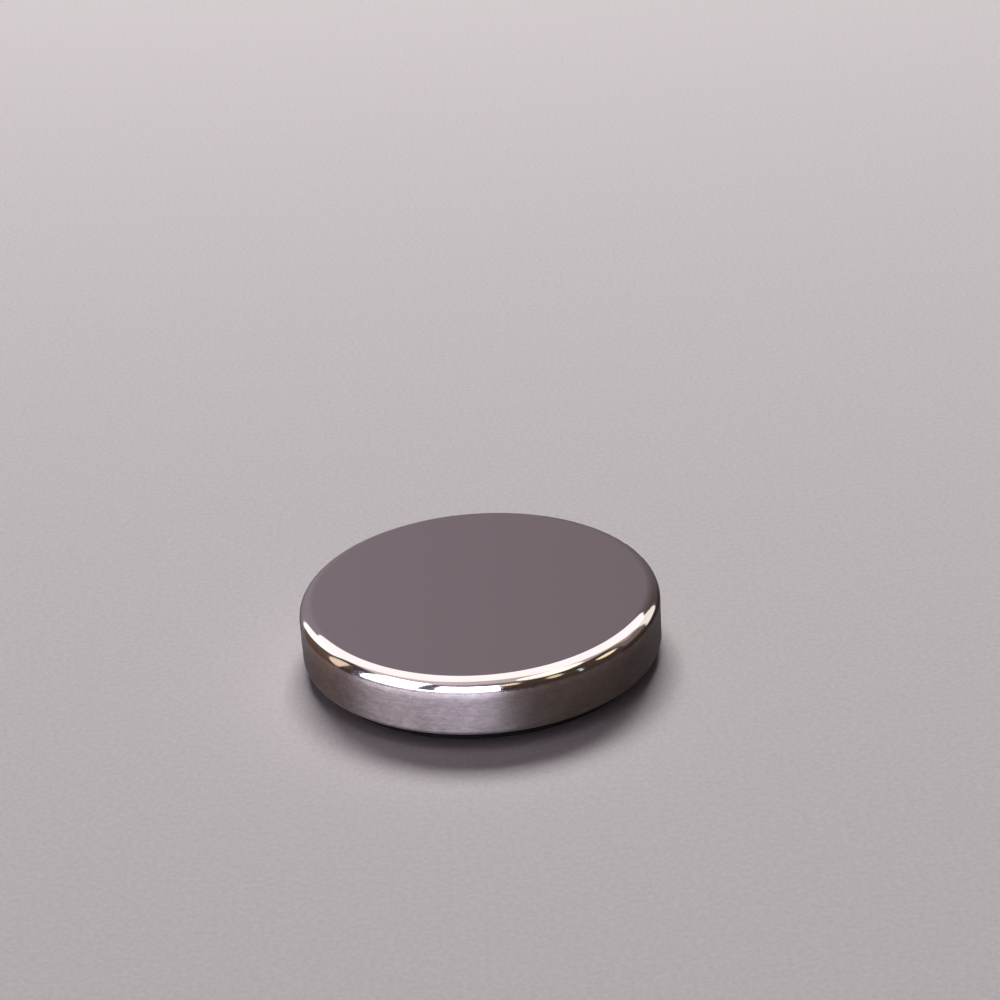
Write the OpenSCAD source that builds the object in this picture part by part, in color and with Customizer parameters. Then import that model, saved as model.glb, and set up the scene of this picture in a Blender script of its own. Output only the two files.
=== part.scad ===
// Dealer button: a weighted round marker for card games.
// A polished metal cap holds a steel ballast disc, a plate pressed into its mouth
// closes it, and a rubber pad under the plate lifts the metal rim off the table.
// The origin is the centre of the pad's underside, where the button rests. +Z is up.

/* [Body] */
// Outer diameter of the metal cap
body_d = 50.8; // [38:0.1:76]
// Height of the metal cap, from the underside of its rim to its top face
body_h = 8.2; // [7.5:0.1:14]
// Radius of the polished shoulder between the top face and the side wall
shoulder_r = 2; // [0.8:0.1:3]
// Radius of the lower edge of the side wall
lower_edge_r = 0.6; // [0.3:0.1:1]
// Thickness of the cap's top
top_t = 2; // [1.5:0.1:2.5]
// Width of the rim that shows round the base plate
rim_w = 1.6; // [1.4:0.1:2.5]
// Width of the step inside the cap that the base plate sits on
seat_w = 1; // [0.6:0.1:1.5]

/* [Base plate] */
// Thickness of the base plate
plate_t = 1.2; // [0.8:0.1:1.6]
// Chamfer on the plate's lower edge and on the cap's mouth, which draws the joint line
joint_chamfer = 0.2; // [0.1:0.05:0.3]

/* [Ballast] */
// Gap round the ballast disc, and between it and the base plate
ballast_gap = 0.3; // [0.1:0.1:0.6]
// Chamfer on both edges of the ballast disc
ballast_chamfer = 0.5; // [0.2:0.1:0.8]
// Thickness of the bond between the ballast disc and the cap's ceiling
bond_t = 0.3; // [0.1:0.1:0.5]
// Distance from the edge of the ballast disc to the edge of the bond
bond_inset = 2.5; // [1:0.5:6]

/* [Pad] */
// Distance from the cap's side wall to the edge of the pad
pad_inset = 2; // [1.8:0.1:5]
// Thickness of the rubber pad
pad_t = 1.6; // [1:0.1:2.5]
// Radius of the pad's lower edge
pad_edge_r = 0.3; // [0.1:0.1:0.4]
// Thickness of the adhesive film that holds the pad
film_t = 0.2; // [0.1:0.05:0.3]
// Distance from the edge of the pad to the edge of the film
film_inset = 0.4; // [0.2:0.1:1]

/* [Hidden] */
$fn = 240;
body_r = body_d / 2;
rim_z = pad_t + film_t;
top_z = rim_z + body_h;
plate_r = body_r - rim_w;
plate_top_z = rim_z + plate_t;
cavity_r = plate_r - seat_w;
ceiling_z = top_z - top_t;
bond_z = ceiling_z - bond_t;
ballast_r = cavity_r - ballast_gap;
ballast_z = plate_top_z + ballast_gap;
ballast_h = bond_z - ballast_z;
bond_r = ballast_r - bond_inset;
pad_r = body_r - pad_inset;
film_r = pad_r - film_inset;
// How far a cutting shape runs past the face that it opens
cut = 1;

// Half profile of a disc whose upper and lower edges are true quarter circles
module rounded_half(r, h, upper_r, lower_r) {
    inner_r = r - max(upper_r, lower_r);
    square([inner_r, h]);
    translate([0, lower_r])
        square([r, h - upper_r - lower_r]);
    translate([0, h - upper_r])
        square([r - upper_r, upper_r]);
    square([r - lower_r, lower_r]);
    translate([r - upper_r, h - upper_r])
        circle(upper_r);
    translate([r - lower_r, lower_r])
        circle(lower_r);
}

// Half profile of a disc with a chamfer on its lower edge, and one on its upper edge
module chamfered_half(r, h, lower_c, upper_c = 0) {
    polygon([
        [0, 0],
        [r - lower_c, 0],
        [r, lower_c],
        [r, h - upper_c],
        [r - upper_c, h],
        [0, h]
    ]);
}

// The polished shell: a flat top, a rounded shoulder and a straight satin wall,
// bored out from below for the ballast, with a stepped and chamfered mouth
module metal_cap() {
    color([0.80, 0.79, 0.78])
    rotate_extrude()
    difference() {
        translate([0, rim_z])
            rounded_half(body_r, body_h, shoulder_r, lower_edge_r);
        translate([0, rim_z - cut])
            square([cavity_r, ceiling_z - rim_z + cut]);
        translate([0, rim_z - cut])
            square([plate_r, plate_t + cut]);
        polygon([
            [0, rim_z - cut],
            [plate_r + joint_chamfer + cut, rim_z - cut],
            [plate_r, rim_z + joint_chamfer],
            [0, rim_z + joint_chamfer]
        ]);
    }
}

// The layer of epoxy that fixes the ballast disc to the cap's ceiling
module ballast_bond() {
    color([0.72, 0.66, 0.48])
    translate([0, 0, bond_z])
        cylinder(h = bond_t, r = bond_r);
}

// The steel disc that gives the button its weight
module ballast_disc() {
    color([0.42, 0.43, 0.45])
    translate([0, 0, ballast_z])
    rotate_extrude()
        chamfered_half(ballast_r, ballast_h, ballast_chamfer, ballast_chamfer);
}

// The plate that closes the cap, flush with the underside of its rim
module base_plate() {
    color([0.62, 0.62, 0.63])
    translate([0, 0, rim_z])
    rotate_extrude()
        chamfered_half(plate_r, plate_t, joint_chamfer);
}

// The double-sided film between the base plate and the pad
module pad_film() {
    color([0.85, 0.84, 0.78])
    translate([0, 0, pad_t])
        cylinder(h = film_t, r = film_r);
}

// The black pad that the button rests on, smaller than the metal rim
module base_pad() {
    color([0.03, 0.03, 0.03])
    rotate_extrude()
    difference() {
        square([pad_r, pad_t]);
        translate([pad_r - pad_edge_r, 0])
        difference() {
            translate([0, -cut])
                square([pad_edge_r + cut, pad_edge_r + cut]);
            translate([0, pad_edge_r])
                circle(pad_edge_r);
        }
    }
}

metal_cap();
ballast_bond();
ballast_disc();
base_plate();
pad_film();
base_pad();
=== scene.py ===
"""Looks, stage, lights and camera for the dealer button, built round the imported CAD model.

Lengths are metres unless a name says otherwise. Colours are linear. Azimuths are degrees about
the button's axis: 0 is the camera's side (-Y), 90 is the right (+X) and 180 is the far side.
"""

import math

import bpy
from mathutils import Matrix, Vector


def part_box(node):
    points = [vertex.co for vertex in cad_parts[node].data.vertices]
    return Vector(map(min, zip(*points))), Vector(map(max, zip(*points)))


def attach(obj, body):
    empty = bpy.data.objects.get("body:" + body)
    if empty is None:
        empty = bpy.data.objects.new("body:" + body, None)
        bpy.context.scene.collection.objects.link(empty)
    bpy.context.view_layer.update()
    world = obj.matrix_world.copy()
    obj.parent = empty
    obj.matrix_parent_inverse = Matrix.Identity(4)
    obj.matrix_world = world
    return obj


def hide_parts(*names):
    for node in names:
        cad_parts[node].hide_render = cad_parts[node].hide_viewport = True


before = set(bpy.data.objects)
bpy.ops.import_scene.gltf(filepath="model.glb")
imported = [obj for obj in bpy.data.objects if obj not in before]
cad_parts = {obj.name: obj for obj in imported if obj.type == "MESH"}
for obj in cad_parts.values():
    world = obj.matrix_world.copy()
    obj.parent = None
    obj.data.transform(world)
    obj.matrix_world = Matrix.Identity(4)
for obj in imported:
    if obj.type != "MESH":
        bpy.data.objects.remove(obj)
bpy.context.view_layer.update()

# ---------------------------------------------------------------- sizes that the CAD model fixes

MM = 0.001
SHOULDER_R = 2.0 * MM
LOWER_EDGE_R = 0.6 * MM
JOINT_CHAMFER = 0.2 * MM
PAD_EDGE_R = 0.3 * MM
SEAT_W = 1.0 * MM

cap_low, cap_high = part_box("metal_cap")
plate_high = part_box("base_plate")[1]
pad_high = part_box("base_pad")[1]
body_r = cap_high.x
plate_r = plate_high.x
pad_r = pad_high.x
rim_z = cap_low.z
top_z = cap_high.z
# The height at which the rounded shoulder meets the straight wall
tangent_z = top_z - SHOULDER_R
cavity_r = plate_r - SEAT_W
ceiling_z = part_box("ballast_bond")[1].z


# ---------------------------------------------------------------- turned pieces

SEGMENTS = 384
AXIS_R = 1e-9  # a point of a profile nearer than this to the axis is on it


def line(r0, z0, r1, z1, steps=1, finish=0):
    """A straight stretch of a half profile, in bands.

    A band is (start, end, normal at the start, normal at the end, finish), all in the (r, z) half plane."""
    along = Vector((r1 - r0, z1 - z0)).normalized()
    normal = (-along.y, along.x)
    points = [(r0 + (r1 - r0) * i / steps, z0 + (z1 - z0) * i / steps) for i in range(steps + 1)]
    return [(a, b, normal, normal, finish) for a, b in zip(points, points[1:])]


def arc(r, z, radius, start, end, steps, finish=0):
    """A convex arc round (r, z), in bands. start and end are degrees above the horizontal."""
    angles = [math.radians(start + (end - start) * i / steps) for i in range(steps + 1)]
    spots = [(math.cos(a), math.sin(a)) for a in angles]
    return [
        ((r + radius * a[0], z + radius * a[1]), (r + radius * b[0], z + radius * b[1]), a, b, finish)
        for a, b in zip(spots, spots[1:])
    ]


def link_mesh(name, vertices, faces, materials):
    mesh = bpy.data.meshes.new(name)
    mesh.from_pydata(vertices, [], faces)
    for material in materials:
        mesh.materials.append(material)
    piece = bpy.data.objects.new(name, mesh)
    bpy.context.scene.collection.objects.link(piece)
    return piece


def turned(name, bands, materials):
    """A closed body of revolution about Z with exact normals.

    bands run clockwise in the (r, z) half plane, and start and end on the axis."""
    turns = [2 * math.pi * j / SEGMENTS for j in range(SEGMENTS)]
    spokes = [(math.cos(turn), math.sin(turn)) for turn in turns]
    vertices = []
    first = []
    for r, z in [bands[0][0]] + [band[1] for band in bands]:
        first.append(len(vertices))
        around = spokes if r > AXIS_R else [(0.0, 0.0)]
        vertices += [(r * c, r * s, z) for c, s in around]
    faces = []
    normals = []
    finishes = []
    for k, (a, b, normal_a, normal_b, finish) in enumerate(bands):
        for j in range(SEGMENTS):
            i = (j + 1) % SEGMENTS
            # (vertex, normal in the half plane, spoke) at each corner; a ring on the axis is one vertex
            if a[0] > AXIS_R and b[0] > AXIS_R:
                starts = [(first[k] + j, normal_a, j)]
                ends = [(first[k + 1] + j, normal_b, j), (first[k + 1] + i, normal_b, i)]
                corners = starts + ends + [(first[k] + i, normal_a, i)]
            elif a[0] > AXIS_R:
                starts = [(first[k] + j, normal_a, j)]
                corners = starts + [(first[k + 1], normal_b, j), (first[k] + i, normal_a, i)]
            else:
                ends = [(first[k + 1] + j, normal_b, j), (first[k + 1] + i, normal_b, i)]
                corners = [(first[k], normal_a, j)] + ends
            faces.append([vertex for vertex, _, _ in corners])
            finishes.append(finish)
            normals += [(n[0] * spokes[t][0], n[0] * spokes[t][1], n[1]) for _, n, t in corners]
    piece = link_mesh(name, vertices, faces, materials)
    mesh = piece.data
    mesh.polygons.foreach_set("material_index", finishes)
    mesh.polygons.foreach_set("use_smooth", [True] * len(faces))
    mesh.update()
    mesh.normals_split_custom_set(normals)
    return piece


# ---------------------------------------------------------------- materials

class Finish:
    """A node material with one Principled shader, and short calls for the nodes that feed it."""

    def __init__(self, name, **sockets):
        self.material = bpy.data.materials.new(name)
        self.material.use_nodes = True
        self.nodes = self.material.node_tree.nodes
        self.links = self.material.node_tree.links
        self.shader = self.nodes["Principled BSDF"]
        for socket, value in sockets.items():
            self.shader.inputs[socket.replace("_", " ")].default_value = value
        self.coords = self.nodes.new("ShaderNodeTexCoord").outputs["Object"]

    def feed(self, output, socket):
        self.links.new(output, self.shader.inputs[socket])

    def grain(self, scale, detail=2.0, roughness=0.5, stretch=(1, 1, 1), turn=0.0):
        """Noise from 0 to 1. scale is in cycles per metre, and stretch multiplies it along each axis."""
        place = self.nodes.new("ShaderNodeMapping")
        place.inputs["Scale"].default_value = stretch
        place.inputs["Rotation"].default_value = (0, 0, math.radians(turn))
        noise = self.nodes.new("ShaderNodeTexNoise")
        noise.inputs["Scale"].default_value = scale
        noise.inputs["Detail"].default_value = detail
        noise.inputs["Roughness"].default_value = roughness
        self.links.new(self.coords, place.inputs["Vector"])
        self.links.new(place.outputs["Vector"], noise.inputs["Vector"])
        return noise.outputs["Fac"]

    def remap(self, value, low, high, to_low, to_high, smooth=False):
        node = self.nodes.new("ShaderNodeMapRange")
        node.interpolation_type = "SMOOTHSTEP" if smooth else "LINEAR"
        self.links.new(value, node.inputs["Value"])
        node.inputs["From Min"].default_value = low
        node.inputs["From Max"].default_value = high
        node.inputs["To Min"].default_value = to_low
        node.inputs["To Max"].default_value = to_high
        return node.outputs["Result"]

    def combine(self, operation, a, b):
        """A maths node. a and b are each a number or another node's output."""
        node = self.nodes.new("ShaderNodeMath")
        node.operation = operation
        for socket, value in zip(node.inputs, (a, b)):
            if isinstance(value, (int, float)):
                socket.default_value = value
            else:
                self.links.new(value, socket)
        return node.outputs["Value"]

    def blend(self, parts):
        """The weighted sum of (value, weight) pairs."""
        (first_value, first_weight), *others = parts
        total = self.combine("MULTIPLY", first_value, first_weight)
        for value, weight in others:
            total = self.combine("ADD", total, self.combine("MULTIPLY", value, weight))
        return total

    def tint(self, value, low_colour, high_colour):
        """A colour between two, by value from 0 to 1."""
        node = self.nodes.new("ShaderNodeMix")
        node.data_type = "RGBA"
        self.links.new(value, node.inputs["Factor"])
        node.inputs["A"].default_value = (*low_colour, 1)
        node.inputs["B"].default_value = (*high_colour, 1)
        return node.outputs["Result"]

    def height(self):
        """The height above the table, in metres."""
        node = self.nodes.new("ShaderNodeSeparateXYZ")
        self.links.new(self.coords, node.inputs["Vector"])
        return node.outputs["Z"]

    def bump(self, value, distance, strength=1.0):
        node = self.nodes.new("ShaderNodeBump")
        node.inputs["Distance"].default_value = distance
        node.inputs["Strength"].default_value = strength
        self.links.new(value, node.inputs["Height"])
        self.feed(node.outputs["Normal"], "Normal")

    def fade_to_clear(self, clearness):
        """Mixes the surface with a clear one, by a value from 0, all surface, to 1, all clear."""
        clear = self.nodes.new("ShaderNodeBsdfTransparent")
        mix = self.nodes.new("ShaderNodeMixShader")
        self.links.new(clearness, mix.inputs["Fac"])
        self.links.new(self.shader.outputs["BSDF"], mix.inputs[1])
        self.links.new(clear.outputs["BSDF"], mix.inputs[2])
        self.links.new(mix.outputs["Shader"], self.nodes["Material Output"].inputs["Surface"])


METAL = (0.80, 0.765, 0.73, 1)
SATIN_FADE_START = tangent_z + 0.72 * MM
SATIN_FADE_END = tangent_z + 0.05 * MM


def polished_metal():
    """Mirror polish with faint haze and hairlines, and a buffed shoulder that is a little softer."""
    finish = Finish("polished_metal", Base_Color=METAL, Metallic=1.0)
    haze = finish.remap(finish.grain(90, detail=3), 0.35, 0.75, 0.03, 0.055)
    one_way = finish.remap(finish.grain(2600, stretch=(1, 0.02, 1), turn=28), 0.72, 0.80, 0, 0.05)
    other_way = finish.remap(finish.grain(2300, stretch=(1, 0.02, 1), turn=-50), 0.73, 0.80, 0, 0.05)
    hairlines = finish.combine("MAXIMUM", one_way, other_way)
    edge_starts = top_z - 0.05 * MM
    edge_ends = top_z - 0.5 * MM
    buffed = finish.remap(finish.height(), edge_starts, edge_ends, 0, 0.045, smooth=True)
    finish.feed(finish.combine("ADD", finish.combine("ADD", haze, hairlines), buffed), "Roughness")
    return finish.material


def satin_metal():
    """Fine scratches round the wall, with painted glints (pale specks in its colour), which fade into the
    polished shoulder.
    """
    finish = Finish("satin_metal", Metallic=1.0, Anisotropic=0.65, Anisotropic_Rotation=0.25)
    tangent = finish.nodes.new("ShaderNodeTangent")
    tangent.direction_type = "RADIAL"
    tangent.axis = "Z"
    finish.feed(tangent.outputs["Tangent"], "Tangent")
    lines = finish.grain(6000, detail=3, roughness=0.7, stretch=(0.03, 0.03, 1))
    sparkle = finish.grain(3600, detail=3, roughness=0.75, stretch=(0.5, 0.5, 1))
    dashes = finish.grain(3800, detail=4, roughness=0.8, stretch=(0.2, 0.2, 1))
    patches = finish.grain(1100, detail=4, roughness=0.7, stretch=(0.7, 0.7, 1))
    # Painted glints: pale specks put into the wall's colour, standing in for the sparkle of its scratches.
    painted_glints = finish.remap(finish.grain(1900, detail=0), 0.80, 0.84, 0, 1)
    satin = finish.remap(finish.height(), SATIN_FADE_START, SATIN_FADE_END, 0, 1, smooth=True)
    marks = finish.blend([(lines, 0.45), (sparkle, 0.55)])
    marks_grade = finish.remap(marks, 0.35, 0.65, 0.26, 0.32)
    patches_grade = finish.remap(patches, 0.35, 0.65, -0.015, 0.015)
    grade = finish.combine("ADD", marks_grade, patches_grade)
    polished_roughness = 0.04
    roughness = finish.combine("ADD", finish.combine("MULTIPLY", satin, grade), polished_roughness)
    finish.feed(roughness, "Roughness")
    tone = finish.blend([(marks, 0.35), (dashes, 0.40), (patches, 0.25)])
    tone = finish.combine("MAXIMUM", finish.remap(tone, 0.39, 0.61, 0, 0.85), painted_glints)
    finish.feed(finish.tint(tone, (0.58, 0.53, 0.54), (0.88, 0.82, 0.83)), "Base Color")
    finish.bump(finish.combine("MULTIPLY", marks, satin), 0.0025 * MM, 0.7)
    return finish.material


def brushed_plate():
    """Sheet steel brushed along one direction."""
    finish = Finish("brushed_plate", Metallic=1.0)
    lines = finish.grain(6000, detail=3, roughness=0.7, stretch=(0.01, 1, 1))
    finish.feed(finish.remap(lines, 0.3, 0.7, 0.28, 0.42), "Roughness")
    finish.feed(finish.tint(lines, (0.45, 0.45, 0.46), (0.60, 0.60, 0.61)), "Base Color")
    finish.bump(lines, 0.004 * MM)
    return finish.material


def turned_steel():
    """Mild steel with the rings of a facing cut."""
    finish = Finish("turned_steel", Metallic=1.0)
    wave = finish.nodes.new("ShaderNodeTexWave")
    wave.wave_type = "RINGS"
    wave.rings_direction = "Z"
    wave.inputs["Scale"].default_value = 900
    wave.inputs["Distortion"].default_value = 0.4
    finish.links.new(finish.coords, wave.inputs["Vector"])
    stain = finish.grain(140, detail=4)
    finish.feed(finish.remap(stain, 0.3, 0.7, 0.34, 0.5), "Roughness")
    finish.feed(finish.tint(stain, (0.24, 0.24, 0.26), (0.38, 0.38, 0.40)), "Base Color")
    finish.bump(wave.outputs["Fac"], 0.01 * MM)
    return finish.material


def black_rubber():
    """Die-cut rubber sheet: a fine pebbled skin, a little paler where dust sits in it."""
    finish = Finish("black_rubber", Specular_IOR_Level=0.12)
    pebble = finish.grain(2600, detail=3)
    dust = finish.remap(finish.grain(700, detail=5, roughness=0.7), 0.55, 0.8, 0, 1)
    finish.feed(finish.remap(pebble, 0.3, 0.7, 0.72, 0.92), "Roughness")
    finish.feed(finish.tint(dust, (0.008, 0.008, 0.009), (0.028, 0.026, 0.026)), "Base Color")
    finish.bump(pebble, 0.05 * MM)
    return finish.material


def amber_epoxy():
    """Cured resin, cloudy and glossy."""
    finish = Finish("amber_epoxy", Coat_Weight=0.3)
    cloud = finish.grain(220, detail=3)
    finish.feed(finish.tint(cloud, (0.42, 0.31, 0.12), (0.66, 0.55, 0.30)), "Base Color")
    finish.feed(finish.remap(cloud, 0.3, 0.7, 0.12, 0.25), "Roughness")
    finish.bump(cloud, 0.05 * MM)
    return finish.material


def adhesive_film():
    """The cream carrier of a double-sided film, with faint fibres."""
    finish = Finish("adhesive_film", Specular_IOR_Level=0.4)
    fibre = finish.grain(1500, detail=4, stretch=(0.2, 1, 1), turn=35)
    finish.feed(finish.tint(fibre, (0.62, 0.60, 0.52), (0.80, 0.78, 0.70)), "Base Color")
    finish.feed(finish.remap(fibre, 0.3, 0.7, 0.45, 0.6), "Roughness")
    finish.bump(fibre, 0.01 * MM)
    return finish.material


# ---------------------------------------------------------------- the button's pieces

POLISHED = 0
SATIN = 1
# Degrees down the shoulder from the top face. The satin material takes over here and fades in just below.
SATIN_FROM = 68
# The wall's normals lean up by at most this many degrees, in this stretch of height
LEAN = 10
LEAN_TOP_Z = tangent_z + 0.35 * MM
LEAN_FOOT_Z = tangent_z - 1.3 * MM
LEAN_POWER = 1.5


def eased(bands):
    """Turns the wall's normals up a little near the shoulder, where polishing has eased its finish."""
    def turn(spot, normal):
        r, z = spot
        if not LEAN_FOOT_Z < z <= LEAN_TOP_Z or r < body_r - SHOULDER_R:
            return normal
        share = (z - LEAN_FOOT_Z) / (LEAN_TOP_Z - LEAN_FOOT_Z)
        angle = math.radians(LEAN) * share ** LEAN_POWER
        return (math.cos(angle), math.sin(angle))

    return [(a, b, turn(a, at_a), turn(b, at_b), finish) for a, b, at_a, at_b, finish in bands]


def make_cap():
    shoulder = (body_r - SHOULDER_R, top_z - SHOULDER_R, SHOULDER_R)
    lower = (body_r - LOWER_EDGE_R, rim_z + LOWER_EDGE_R, LOWER_EDGE_R)
    mouth_r = plate_r + JOINT_CHAMFER
    bands = [
        *line(0, top_z, shoulder[0], top_z, steps=12, finish=POLISHED),
        *arc(*shoulder, 90, 90 - SATIN_FROM, steps=24, finish=POLISHED),
        *eased(arc(*shoulder, 90 - SATIN_FROM, 0, steps=8, finish=SATIN)),
        *eased(line(body_r, shoulder[1], body_r, lower[1], steps=16, finish=SATIN)),
        *arc(*lower, 0, -90, steps=12, finish=SATIN),
        *line(lower[0], rim_z, mouth_r, rim_z, finish=SATIN),
        *line(mouth_r, rim_z, plate_r, rim_z + JOINT_CHAMFER, finish=SATIN),
        *line(plate_r, rim_z + JOINT_CHAMFER, plate_r, plate_high.z, finish=SATIN),
        *line(plate_r, plate_high.z, cavity_r, plate_high.z, finish=SATIN),
        *line(cavity_r, plate_high.z, cavity_r, ceiling_z, finish=SATIN),
        *line(cavity_r, ceiling_z, 0, ceiling_z, steps=4, finish=SATIN),
    ]
    piece = turned("polished_cap", bands, [polished_metal(), satin_metal()])
    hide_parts("metal_cap")
    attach(piece, "root")


def make_plate():
    bands = [
        *line(0, plate_high.z, plate_r, plate_high.z, steps=4),
        *line(plate_r, plate_high.z, plate_r, rim_z + JOINT_CHAMFER),
        *line(plate_r, rim_z + JOINT_CHAMFER, plate_r - JOINT_CHAMFER, rim_z),
        *line(plate_r - JOINT_CHAMFER, rim_z, 0, rim_z, steps=4),
    ]
    piece = turned("closing_plate", bands, [brushed_plate()])
    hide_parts("base_plate")
    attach(piece, "root")


def make_pad():
    bands = [
        *line(0, pad_high.z, pad_r, pad_high.z, steps=4),
        *line(pad_r, pad_high.z, pad_r, PAD_EDGE_R),
        *arc(pad_r - PAD_EDGE_R, PAD_EDGE_R, PAD_EDGE_R, 0, -90, steps=6),
        *line(pad_r - PAD_EDGE_R, 0, 0, 0, steps=8),
    ]
    piece = turned("rubber_pad", bands, [black_rubber()])
    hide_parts("base_pad")
    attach(piece, "root")


def dress(node, material):
    """Gives a CAD node that is shown as it is a better material."""
    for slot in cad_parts[node].material_slots:
        slot.material = material


make_cap()
make_plate()
make_pad()
dress("ballast_disc", turned_steel())
dress("ballast_bond", amber_epoxy())
dress("pad_film", adhesive_film())


# ---------------------------------------------------------------- stage

FLOOR_R = 8.0
FLOOR_Z = -0.02 * MM
SHADE_Z = -0.01 * MM
SHADE_INNER_R = 1.03 * body_r
SHADE_FADE_R = 1.08 * body_r
SHADE_OUTER_R = 1.5 * body_r
RING_SEGMENTS = 96


def direction(azimuth):
    a = math.radians(azimuth)
    return Vector((math.sin(a), -math.cos(a), 0))


def stage_piece(name, vertices, faces, material):
    piece = link_mesh(name, vertices, faces, [material])
    return piece


def only_in_mirrors(piece):
    """Keeps a stage piece out of everything but what the metal mirrors."""
    piece.visible_camera = False
    piece.visible_diffuse = False
    piece.visible_shadow = False


def pale_paper():
    """Matt paper with a fine fleck. It has no underside, so the button can be seen from below."""
    finish = Finish("pale_paper", Roughness=0.9, Specular_IOR_Level=0.2)
    fleck = finish.remap(finish.grain(1400, detail=3, roughness=0.7), 0.35, 0.65, 0, 1)
    finish.feed(finish.tint(fleck, (0.46, 0.43, 0.445), (0.52, 0.49, 0.505)), "Base Color")
    side = finish.nodes.new("ShaderNodeNewGeometry")
    finish.fade_to_clear(side.outputs["Backfacing"])
    return finish.material


def own_shadow():
    """What the wall's foot mirrors: paper in the button's shadow, which fades out round it."""
    finish = Finish("own_shadow", Base_Color=(0, 0, 0, 1), Roughness=1.0, Specular_IOR_Level=0.0)
    reach = finish.nodes.new("ShaderNodeVectorMath")
    reach.operation = "LENGTH"
    finish.links.new(finish.coords, reach.inputs[0])
    fade = finish.remap(reach.outputs["Value"], SHADE_FADE_R, SHADE_OUTER_R, 0.25, 1, smooth=True)
    finish.fade_to_clear(fade)
    return finish.material


def flat_ring(name, inner, outer, height, material):
    """A level ring, or a disc where inner is 0."""
    vertices = []
    faces = []
    for j in range(RING_SEGMENTS):
        spoke = direction(360 * j / RING_SEGMENTS)
        vertices += [tuple(spoke * r + Vector((0, 0, height))) for r in (inner, outer)]
        near = 2 * j
        following = 2 * ((j + 1) % RING_SEGMENTS)
        faces.append((near, near + 1, following + 1, following))
    return stage_piece(name, vertices, faces, material)


floor = flat_ring("floor", 0, FLOOR_R, FLOOR_Z, pale_paper())
# The metal doesn't mirror this pale paper. It mirrors the studio's darker walls all the way down.
floor.visible_glossy = False
only_in_mirrors(flat_ring("own_shadow", SHADE_INNER_R, SHADE_OUTER_R, SHADE_Z, own_shadow()))


LEFT_WALL = (0.28, 0.235, 0.28, 1)
RIGHT_WALL = (0.07, 0.052, 0.047, 1)
# Shares of the walls' strength: well below the table, where the dimming is painted shade for the paper round
# the button as the metal mirrors it, and as what lights the paper
DIM_BELOW = 0.5
DIM_ON_PAPER = 0.18


def studio_walls():
    """The surroundings' tone: mauve grey on the left, which turns to dark brown on the right."""
    world = bpy.data.worlds.new("studio")
    bpy.context.scene.world = world
    world.use_nodes = True
    nodes = world.node_tree.nodes
    links = world.node_tree.links
    coords = nodes.new("ShaderNodeTexCoord")
    split = nodes.new("ShaderNodeSeparateXYZ")
    links.new(coords.outputs["Generated"], split.inputs["Vector"])
    across = nodes.new("ShaderNodeMapRange")
    across.inputs["From Min"].default_value = -0.3
    across.inputs["From Max"].default_value = 0.7
    links.new(split.outputs["X"], across.inputs["Value"])
    mix = nodes.new("ShaderNodeMix")
    mix.data_type = "RGBA"
    mix.inputs["A"].default_value = LEFT_WALL
    mix.inputs["B"].default_value = RIGHT_WALL
    links.new(across.outputs["Result"], mix.inputs["Factor"])
    links.new(mix.outputs["Result"], nodes["Background"].inputs["Color"])
    # Painted shade: the walls dim below the table, standing in for the shaded paper round the button in the
    # metal's reflection.
    depth = nodes.new("ShaderNodeMapRange")
    depth.inputs["From Min"].default_value = -0.45
    depth.inputs["From Max"].default_value = 0.05
    depth.inputs["To Min"].default_value = DIM_BELOW
    links.new(split.outputs["Z"], depth.inputs["Value"])
    # The walls light the paper less than they show in the metal, which keeps the shadow deep.
    path = nodes.new("ShaderNodeLightPath")
    dim = nodes.new("ShaderNodeMapRange")
    dim.inputs["To Min"].default_value = 1.0
    dim.inputs["To Max"].default_value = DIM_ON_PAPER
    links.new(path.outputs["Is Diffuse Ray"], dim.inputs["Value"])
    strength = nodes.new("ShaderNodeMath")
    strength.operation = "MULTIPLY"
    links.new(depth.outputs["Result"], strength.inputs[0])
    links.new(dim.outputs["Result"], strength.inputs[1])
    links.new(strength.outputs["Value"], nodes["Background"].inputs["Strength"])


studio_walls()


# ---------------------------------------------------------------- lights

# Distances from the button's axis. Near boards stand before the panels, and far ones behind them.
PANEL_DISTANCE = 1.5
NEAR_BOARD = 1.3
FAR_BOARD = 1.9
BOARD_STEPS = 24
OVERHEAD_Z = 0.9


def soft_light(name, place, facing, size, radiance, colour, on_paper=True, in_mirrors=True, oval=False):
    """A rectangle or an oval of even radiance that looks towards facing. The camera doesn't see it."""
    width, height = size
    data = bpy.data.lights.new(name, "AREA")
    data.shape = "ELLIPSE" if oval else "RECTANGLE"
    data.size = width
    data.size_y = height
    data.color = colour
    area = width * height * (math.pi / 4 if oval else 1)
    data.energy = radiance * math.pi * area
    light = bpy.data.objects.new(name, data)
    turn = (facing - place).to_track_quat("-Z", "Y").to_matrix().to_4x4()
    light.matrix_world = Matrix.Translation(place) @ turn
    light.visible_camera = False
    light.visible_diffuse = on_paper
    light.visible_glossy = in_mirrors
    bpy.context.scene.collection.objects.link(light)


def panel(name, azimuths, elevations, radiance, colour, oval=False):
    """An upright light that fills a span of azimuth and elevation, as the button sees it."""
    low, high = (PANEL_DISTANCE * math.tan(math.radians(e)) for e in elevations)
    place = direction(sum(azimuths) / 2) * PANEL_DISTANCE + Vector((0, 0, (low + high) / 2))
    width = 2 * PANEL_DISTANCE * math.tan(math.radians(azimuths[1] - azimuths[0]) / 2)
    axis_point = Vector((0, 0, place.z))
    soft_light(name, place, axis_point, (width, high - low), radiance, colour, on_paper=False, oval=oval)


def hanging_light(name, place, size, radiance, colour, oval=False):
    """A light that faces straight down, which only the metal sees."""
    x, y, z = place
    soft_light(name, Vector((x, y, z)), Vector((x, y, 0)), size, radiance, colour, on_paper=False, oval=oval)


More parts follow.
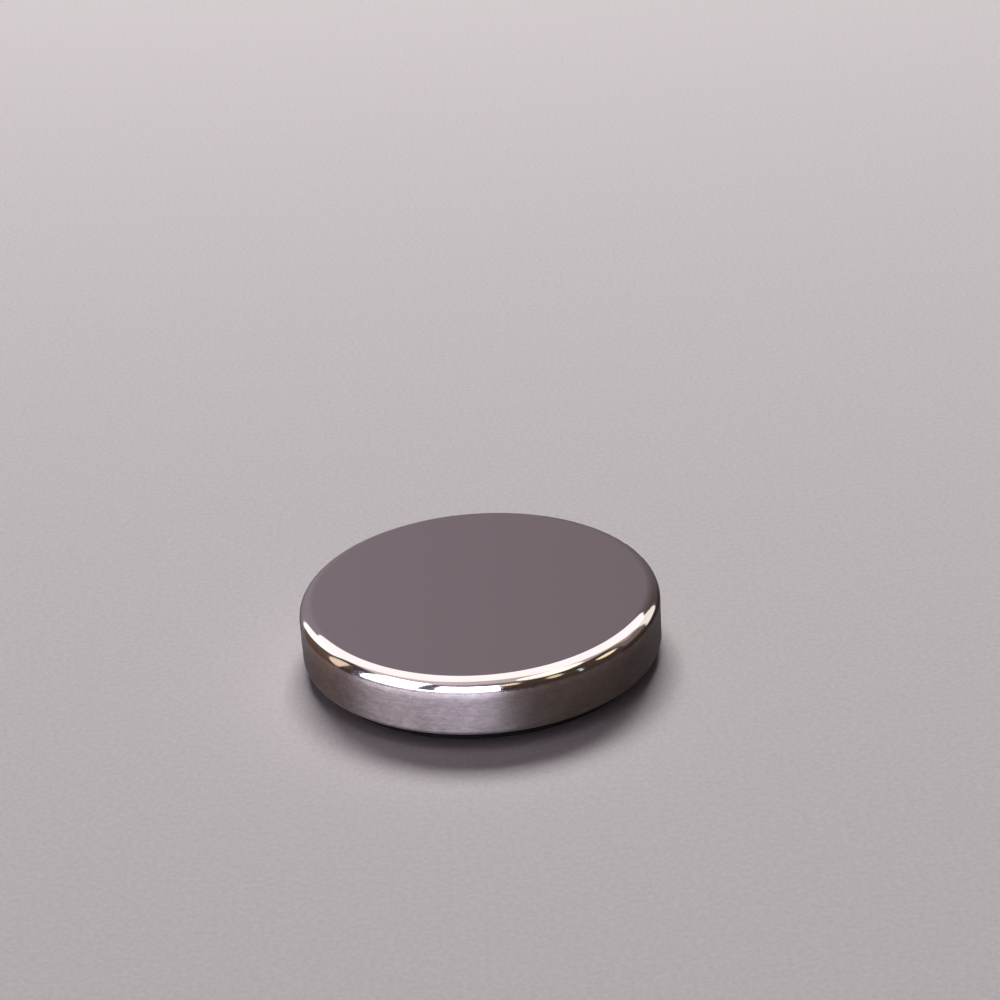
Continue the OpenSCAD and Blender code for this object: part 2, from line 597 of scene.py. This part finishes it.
def glowing_cloth(name, colour, radiance, dark, bright):
    """Cloth that glows by itself, clouded between two shares of its colour."""
    finish = Finish(name, Base_Color=(0, 0, 0, 1), Specular_IOR_Level=0.0, Emission_Strength=radiance)
    cloud = finish.grain(3, detail=2)
    clouded = finish.tint(cloud, [dark * c for c in colour], [bright * c for c in colour])
    finish.feed(clouded, "Emission Color")
    return finish.material


def board(name, azimuths, elevations, colour, distance):
    """A dark curved board, which only the metal sees, over a span of azimuth and elevation.

    A third elevation gives the board a sloping top, from the second one to the third."""
    low, start, end = (distance * math.tan(math.radians(e)) for e in (*elevations, elevations[-1])[:3])
    vertices = []
    for i in range(BOARD_STEPS + 1):
        foot = direction(azimuths[0] + (azimuths[1] - azimuths[0]) * i / BOARD_STEPS) * distance
        top = start + (end - start) * i / BOARD_STEPS
        vertices += [(foot.x, foot.y, low), (foot.x, foot.y, top)]
    faces = [(2 * i, 2 * i + 1, 2 * i + 3, 2 * i + 2) for i in range(BOARD_STEPS)]
    only_in_mirrors(stage_piece(name, vertices, faces, glowing_cloth(name, colour, 1.0, 0.8, 1.2)))


def glow(name, outline, height, radiance, colour):
    """A level sheet of light with any outline, which only the metal sees."""
    vertices = [(x, y, height) for x, y in outline]
    faces = [tuple(range(len(outline)))]
    only_in_mirrors(stage_piece(name, vertices, faces, glowing_cloth(name, colour, radiance, 0.97, 1)))


# The key light stands behind the button, so the button's shadow falls towards the camera.
key_place = -direction(0) * 0.95 + Vector((0, 0, 1.2))
soft_light("key", key_place, Vector((0, 0, 0)), (0.9, 0.5), 20.0, (1.0, 0.985, 0.97), in_mirrors=False)

# The overhead light's outline from above: it runs from the camera's side of the button to far behind it.
OVERHEAD = [(-0.3, -0.15), (0.42, -0.13), (1.35, 0.55), (1.35, 1.15), (-1.35, 1.15), (-1.35, 0.56)]
glow("overhead", OVERHEAD, OVERHEAD_Z, 1.3, (1.0, 0.955, 0.99))

# Two dimmer lights above the button, nearer the camera
hanging_light("ceiling", (0, -0.18, 0.92), (2.0, 0.96), 0.40, (1.0, 0.85, 0.80))
hanging_light("warm_lamp", (0.60, -0.44, OVERHEAD_Z), (0.70, 0.70), 1.1, (1.0, 0.90, 0.76), oval=True)

# Azimuths, elevations, radiance and colour of the upright lights
panel("window_left", (-77, -34), (-3, 51), 4.2, (0.95, 0.88, 0.95))
panel("window_middle", (-34, 9), (-2, 40), 5.0, (0.90, 0.86, 1.0))
panel("side_left", (-139, -109), (-4, 36), 1.15, (1.0, 0.96, 0.97))
panel("side_right", (117, 134), (-4, 42), 1.0, (1.0, 0.94, 0.92))
panel("door_left", (-104, -91), (-10, 31), 0.9, (1.0, 0.78, 0.64), oval=True)
panel("lamp_near", (10, 23), (27, 40), 1.05, (1.0, 0.82, 0.54), oval=True)
panel("lamp_middle", (39, 49), (15, 32), 0.8, (1.0, 0.83, 0.58), oval=True)
panel("lamp_far", (74, 90), (14, 29), 1.1, (1.0, 0.86, 0.58), oval=True)
panel("green_slit", (58, 60.5), (0, 18), 0.8, (0.75, 1.0, 0.83))
panel("right_wall", (93, 117), (4, 50), 0.13, (1.0, 0.76, 0.68))
panel("right_wall_top", (101, 118), (24, 50), 0.22, (1.0, 0.84, 0.80))

# Azimuths, elevations, colour and distance of the dark boards
board("right_boards", (9, 91), (-75, 40), (0.06, 0.042, 0.036), FAR_BOARD)
board("right_foot", (91, 150), (-75, -6), (0.04, 0.029, 0.028), FAR_BOARD)
board("left_board", (-135, -104), (-75, -2, 28), (0.13, 0.08, 0.062), NEAR_BOARD)
board("left_arch", (-108, -84), (-75, 44), (0.07, 0.045, 0.036), FAR_BOARD)
board("post_left", (-84, -77), (-2, 40), (0.06, 0.06, 0.12), NEAR_BOARD)
board("post_middle", (-40, -29), (7, 50), (0.09, 0.09, 0.16), NEAR_BOARD)


# ---------------------------------------------------------------- camera

# Degrees down from level, and round the camera's own axis
CAMERA_PITCH = 26.563
CAMERA_ROLL = -3.702
CAMERA_LENS_MM = 93.6
SENSOR_MM = 36
# In disc radii, across the view: the distance to the disc's middle, and where the camera's axis
# passes it, to the right and above.
CAMERA_DISTANCE = 14.444
AIM_RIGHT = 0.108
AIM_UP = 0.6434


def make_camera():
    pitch = math.radians(CAMERA_PITCH)
    roll = math.radians(CAMERA_ROLL)
    forward = Vector((0, math.cos(pitch), -math.sin(pitch)))
    level_up = Vector((0, math.sin(pitch), math.cos(pitch)))
    level_right = Vector((1, 0, 0))
    right = math.cos(roll) * level_right + math.sin(roll) * level_up
    up = -math.sin(roll) * level_right + math.cos(roll) * level_up
    disc_middle = Vector((0, 0, (rim_z + top_z) / 2))
    aim = disc_middle + body_r * (AIM_RIGHT * right + AIM_UP * up)
    place = aim - forward * CAMERA_DISTANCE * body_r
    data = bpy.data.cameras.new("camera")
    data.sensor_width = SENSOR_MM
    data.lens = CAMERA_LENS_MM
    data.clip_start = 0.01
    data.clip_end = 50
    camera = bpy.data.objects.new("camera", data)
    turn = Matrix((right, up, -forward)).transposed().to_4x4()
    camera.matrix_world = Matrix.Translation(place) @ turn
    bpy.context.scene.collection.objects.link(camera)
    bpy.context.scene.camera = camera


make_camera()
bpy.context.scene.view_settings.view_transform = "Standard"
